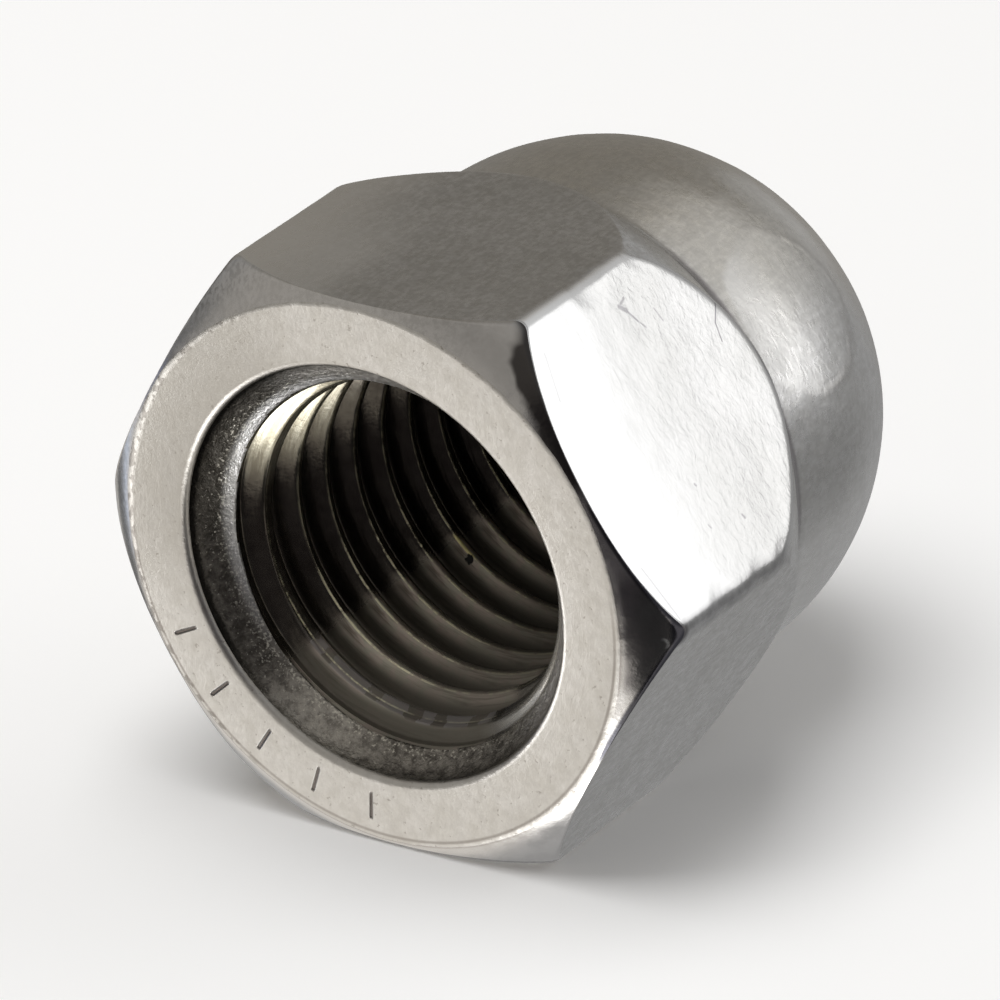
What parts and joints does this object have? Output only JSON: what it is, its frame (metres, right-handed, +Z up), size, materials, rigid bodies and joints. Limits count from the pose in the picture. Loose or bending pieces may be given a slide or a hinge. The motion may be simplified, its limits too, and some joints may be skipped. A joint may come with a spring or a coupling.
{
  "type": "cap nut",
  "caption": "Hexagonal nut closed by a high round dome, with crowned corner chamfers, a flat bearing ring, a countersunk mouth and a blind internally threaded bore.",
  "frame": {"origin": "on the ground under the middle of the nut, which lies on one of its six flats", "axes": "+Y along the nut from its threaded mouth to the top of its dome, +Z up through two opposite flats, +X to the right across two opposite corners"},
  "size_m": [0.0276, 0.028, 0.024],
  "materials": {
    "steel": "forged stainless steel left bright, with a turned bearing face"
  },
  "bodies": {
    "root": {"cap_nut": "steel"}
  },
  "joints": []
}
